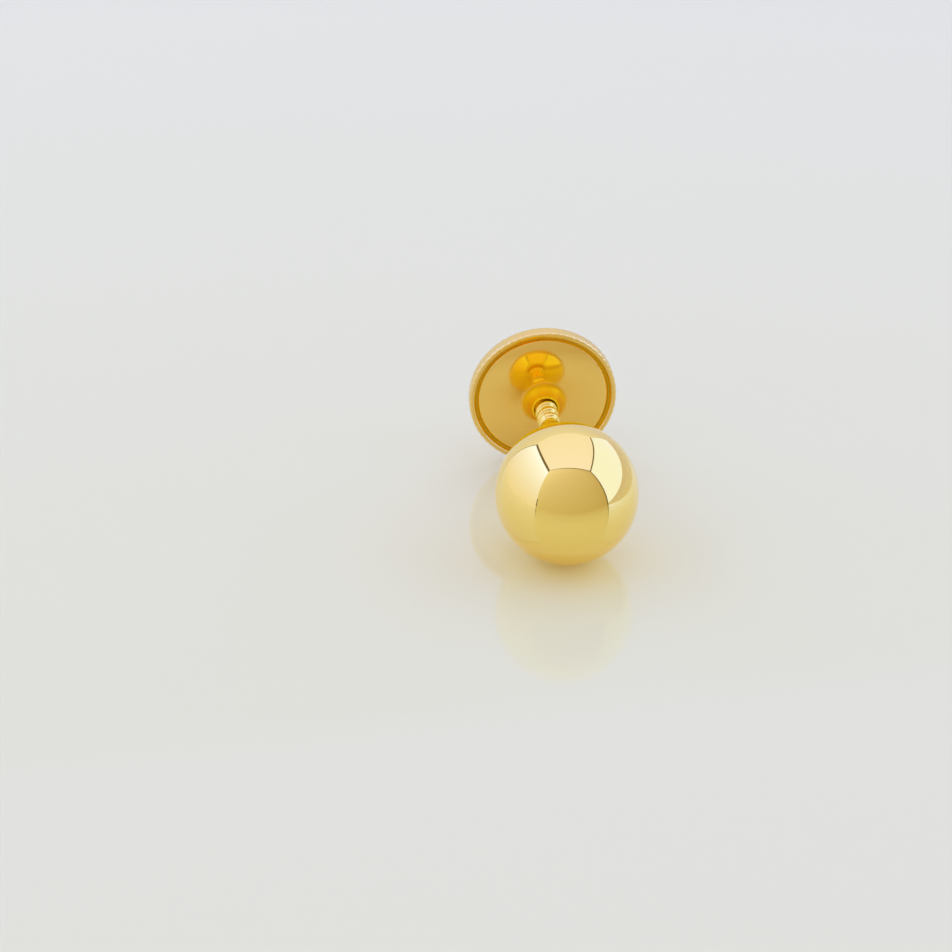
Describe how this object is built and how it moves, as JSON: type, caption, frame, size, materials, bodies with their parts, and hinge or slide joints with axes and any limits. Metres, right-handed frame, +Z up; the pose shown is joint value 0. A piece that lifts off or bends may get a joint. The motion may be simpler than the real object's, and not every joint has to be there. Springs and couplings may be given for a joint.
{
  "type": "ball stud earring",
  "caption": "Gold ball stud earring: a polished ball on a threaded post, held on the ear by a domed screw back with a raised collar and a reeded rim.",
  "frame": {"origin": "on the table, under the middle of the stud's bounding box", "axes": "+Z up; +Y along the post away from the ball, level (the post itself climbs 2.58 degrees from it); the ball is at -Y and the tip of the post at +Y"},
  "size_m": [0.0056, 0.013, 0.0056],
  "materials": {
    "polished_gold": "mirror-polished yellow gold",
    "screw_back_gold": "polished yellow gold with fine tooling marks"
  },
  "bodies": {
    "ball_and_post": {"ball_and_post": "polished_gold"},
    "screw_back": {"screw_back": "screw_back_gold"}
  },
  "joints": [
    {"name": "screw_back_travel", "type": "slide", "parent": "ball_and_post", "child": "screw_back", "axis": [0, 0.999, 0.045], "range_m": [-0.00125, 0.004]}
  ]
}
